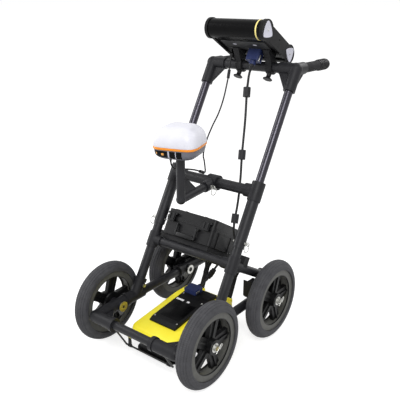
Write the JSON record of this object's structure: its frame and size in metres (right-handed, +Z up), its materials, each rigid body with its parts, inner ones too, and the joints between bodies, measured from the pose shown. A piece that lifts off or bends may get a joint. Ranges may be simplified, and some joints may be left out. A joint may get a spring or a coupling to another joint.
{
  "type": "ground penetrating radar cart",
  "caption": "Push cart of moulded corners and tubes on spoked wheels, with a slung yellow radar sensor, battery case, satellite receiver on a mast and a tilting display.",
  "frame": {"origin": "on the ground, under the middle of the outer box", "axes": "+Z up, +Y towards the operator behind the handle, +X to the cart's left-to-right as seen from the operator's front, the odometer side"},
  "size_m": [0.5822, 0.9814, 1.1882],
  "materials": {
    "black_plastic": "fine grain",
    "black_tube": "smooth satin",
    "shiny_tube": "polished",
    "steel": "zinc plated",
    "black_wire": "plastic dipped",
    "tyre": "matte",
    "grip_rubber": "soft foam",
    "cable_jacket": "smooth",
    "webbing": "woven",
    "pack_grey": "plain",
    "receiver_grey": "satin",
    "receiver_orange": "satin",
    "receiver_white": "smooth",
    "gloss_black": "glossy",
    "screen_glass": "dark glass",
    "board_green": "circuit board",
    "plate_white": "smooth",
    "navy_plastic": "satin",
    "button_red": "satin",
    "safety_yellow": "moulded",
    "antenna_grey": "plain"
  },
  "bodies": {
    "cart": {"side_tubes": "black_tube", "cross_tubes": "black_tube", "shelf_rails": "black_tube", "leg_tubes": "black_tube", "upper_tubes": "shiny_tube", "mid_crossbar": "black_tube", "frame_corners": "black_plastic", "leg_fittings": "black_plastic", "tee_fittings": "black_plastic", "frame_fasteners": "steel", "front_bail": "black_wire", "handle_corners": "black_plastic", "handle_tubes": "black_tube", "grips": "grip_rubber", "grip_caps": "black_plastic", "axles": "steel", "axle_clips": "steel", "wheel_bearings": "steel", "shelf_tray": "black_plastic", "sling_straps": "webbing", "odometer_housing": "black_plastic", "case_body": "black_plastic", "battery_pack": "pack_grey", "gps_clamp": "black_plastic", "gps_arm": "black_plastic", "gps_base": "receiver_grey", "gps_band": "receiver_orange", "gps_dome": "receiver_white", "main_cable_upper": "cable_jacket", "main_cable_lower": "cable_jacket", "gps_cable": "cable_jacket", "cable_ferrites": "black_plastic"},
    "front_left_wheel_body": {"front_left_tyre": "tyre", "front_left_wheel": "black_plastic"},
    "front_right_wheel_body": {"front_right_tyre": "tyre", "front_right_wheel": "black_plastic"},
    "rear_left_wheel_body": {"rear_left_tyre": "tyre", "rear_left_wheel": "black_plastic"},
    "rear_right_wheel_body": {"rear_right_tyre": "tyre", "rear_right_wheel": "black_plastic"},
    "odometer_roller_body": {"odometer_roller": "steel"},
    "display": {"display_housing": "gloss_black", "display_screen": "screen_glass", "display_board": "board_green", "display_end_caps": "gloss_black", "display_corner_plates": "plate_white", "display_bracket": "black_plastic", "display_connector": "navy_plastic"},
    "display_knob_left_body": {"display_knob_left": "black_plastic"},
    "display_knob_right_body": {"display_knob_right": "black_plastic"},
    "display_button_body": {"display_button": "button_red"},
    "case_lid_body": {"case_lid": "black_plastic"},
    "case_latch_left_body": {"case_latch_left": "black_plastic"},
    "case_latch_right_body": {"case_latch_right": "black_plastic"},
    "case_handle_body": {"case_handle": "black_plastic"},
    "sensor": {"sensor_shell": "safety_yellow", "sensor_skid": "black_plastic", "sensor_module": "black_plastic", "sensor_connector": "navy_plastic", "sensor_antenna": "antenna_grey"}
  },
  "joints": [
    {"name": "front_left_wheel_spin", "type": "hinge", "parent": "cart", "child": "front_left_wheel_body", "pos_m": [-0.245, -0.33473, 0.156], "axis": [1, 0, 0], "continuous": true},
    {"name": "front_right_wheel_spin", "type": "hinge", "parent": "cart", "child": "front_right_wheel_body", "pos_m": [0.245, -0.33473, 0.156], "axis": [1, 0, 0], "continuous": true},
    {"name": "rear_left_wheel_spin", "type": "hinge", "parent": "cart", "child": "rear_left_wheel_body", "pos_m": [-0.245, 0.06527, 0.156], "axis": [1, 0, 0], "continuous": true},
    {"name": "rear_right_wheel_spin", "type": "hinge", "parent": "cart", "child": "rear_right_wheel_body", "pos_m": [0.245, 0.06527, 0.156], "axis": [1, 0, 0], "continuous": true},
    {"name": "odometer_spin", "type": "hinge", "parent": "cart", "child": "odometer_roller_body", "pos_m": [0.221, 0.03165, 0.19606], "axis": [1, 0, 0], "continuous": true},
    {"name": "display_tilt", "type": "hinge", "parent": "cart", "child": "display", "pos_m": [0, 0.25773, 1.0073], "axis": [1, 0, 0], "range_deg": [-15, 15], "deforming": ["main_cable_upper", "gps_cable"]},
    {"name": "display_knob_left_turn", "type": "hinge", "parent": "display", "child": "display_knob_left_body", "pos_m": [-0.051, 0.23749, 0.9728], "axis": [0, 0.506, 0.8625], "continuous": true},
    {"name": "display_knob_right_turn", "type": "hinge", "parent": "display", "child": "display_knob_right_body", "pos_m": [0.085, 0.23749, 0.9728], "axis": [0, 0.506, 0.8625], "continuous": true},
    {"name": "display_button_press", "type": "slide", "parent": "display", "child": "display_button_body", "axis": [0, -0.506, -0.8625], "range_m": [0, 0.002], "stiffness_N_per_m": 400},
    {"name": "case_lid_hinge", "type": "hinge", "parent": "cart", "child": "case_lid_body", "pos_m": [-0.042, 0.08283, 0.35369], "axis": [-1, 0, 0], "range_deg": [0, 105]},
    {"name": "case_latch_left_hinge", "type": "hinge", "parent": "case_lid_body", "child": "case_latch_left_body", "pos_m": [-0.12552, -0.07744, 0.46645], "axis": [-1, 0, 0], "range_deg": [0, 100]},
    {"name": "case_latch_right_hinge", "type": "hinge", "parent": "case_lid_body", "child": "case_latch_right_body", "pos_m": [0.04152, -0.07744, 0.46645], "axis": [-1, 0, 0], "range_deg": [0, 100]},
    {"name": "case_handle_hinge", "type": "hinge", "parent": "cart", "child": "case_handle_body", "pos_m": [-0.042, -0.09624, 0.43539], "axis": [-1, 0, 0], "range_deg": [0, 110]},
    {"name": "sensor_float", "type": "slide", "parent": "cart", "child": "sensor", "axis": [0, 0, 1], "range_m": [0, 0.025], "deforming": ["sling_straps", "main_cable_lower"]}
  ],
  "couplings": [
    {"joint": "odometer_spin", "follows": "rear_right_wheel_spin", "ratio": -3.3333}
  ]
}
